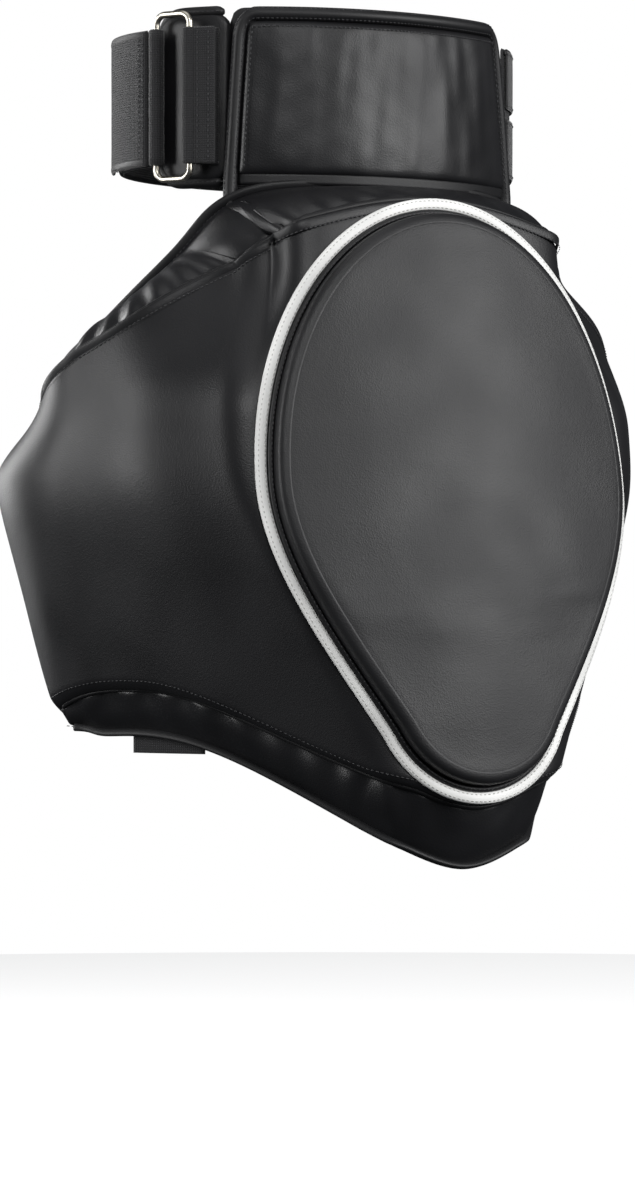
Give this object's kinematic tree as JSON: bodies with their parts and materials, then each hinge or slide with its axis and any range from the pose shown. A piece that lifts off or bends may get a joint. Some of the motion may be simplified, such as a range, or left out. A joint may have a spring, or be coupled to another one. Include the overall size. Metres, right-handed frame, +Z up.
{
  "type": "groin and thigh protector",
  "caption": "Padded groin and thigh protector with a raised oval strike pad, side wings, a waist belt closed through a steel ring, and thigh straps.",
  "frame": {"origin": "centre of the waist belt's loop, at half the belt's height", "axes": "+Z up, the front faces -Y, and the wearer's right side is -X"},
  "size_m": [0.464, 0.3335, 0.58],
  "materials": {
    "leather_black": "semi-gloss black artificial leather with a fine grain",
    "leather_white": "smooth white artificial leather",
    "lining": "matte black artificial leather",
    "binding": "folded black edge binding",
    "foam_hard": "closed-cell black foam",
    "foam_soft": "soft grey foam",
    "webbing": "black woven webbing",
    "loop_pile": "matte brushed loop pile",
    "hook_tape": "stiff hook tape",
    "steel": "satin nickel-plated steel wire"
  },
  "bodies": {
    "root": {"strike_cover": "leather_black", "trim_welt": "leather_black", "face_panel": "leather_black", "wing_cover_right": "leather_black", "wing_cover_left": "leather_black", "top_gusset": "leather_black", "bottom_gusset": "leather_black", "top_seam_welt": "leather_black", "belt_front_panel": "leather_black", "belt_backing": "leather_black", "ring_guard": "leather_black", "white_trim": "leather_white", "back_lining": "lining", "upper_binding": "binding", "lower_binding": "binding", "belt_binding": "binding", "strike_foam": "foam_hard", "impact_foam": "foam_hard", "comfort_foam": "foam_soft", "belt_front_foam": "foam_soft", "ring_tab": "webbing", "waist_strap": "webbing", "thigh_tab_left": "webbing", "thigh_tab_right": "webbing", "thigh_anchor_left": "webbing", "thigh_anchor_right": "webbing", "loop_tape_upper": "loop_pile", "loop_tape_lower": "loop_pile"},
    "ring": {"steel_ring": "steel", "strap_roll": "webbing"},
    "strap_tail": {"strap_end": "webbing", "hook_patch": "hook_tape"},
    "thigh_band_left": {"thigh_strap_left": "webbing", "thigh_hook_left": "hook_tape"},
    "thigh_band_right": {"thigh_strap_right": "webbing", "thigh_hook_right": "hook_tape"}
  },
  "joints": [
    {"name": "ring_swivel", "type": "hinge", "parent": "root", "child": "ring", "pos_m": [-0.12999, -0.05277, 0], "axis": [0, 0, 1], "range_deg": [0, 12]},
    {"name": "strap_end_peel", "type": "hinge", "parent": "ring", "child": "strap_tail", "pos_m": [-0.14302, -0.0297, 0], "axis": [0, 0, 1], "range_deg": [0, 140]},
    {"name": "right_thigh_strap_swing", "type": "hinge", "parent": "root", "child": "thigh_band_right", "pos_m": [-0.184, 0.034, -0.325], "axis": [0, 0, 1], "range_deg": [0, 85]},
    {"name": "left_thigh_strap_swing", "type": "hinge", "parent": "root", "child": "thigh_band_left", "pos_m": [0.184, 0.034, -0.325], "axis": [0, 0, -1], "range_deg": [0, 85]}
  ]
}
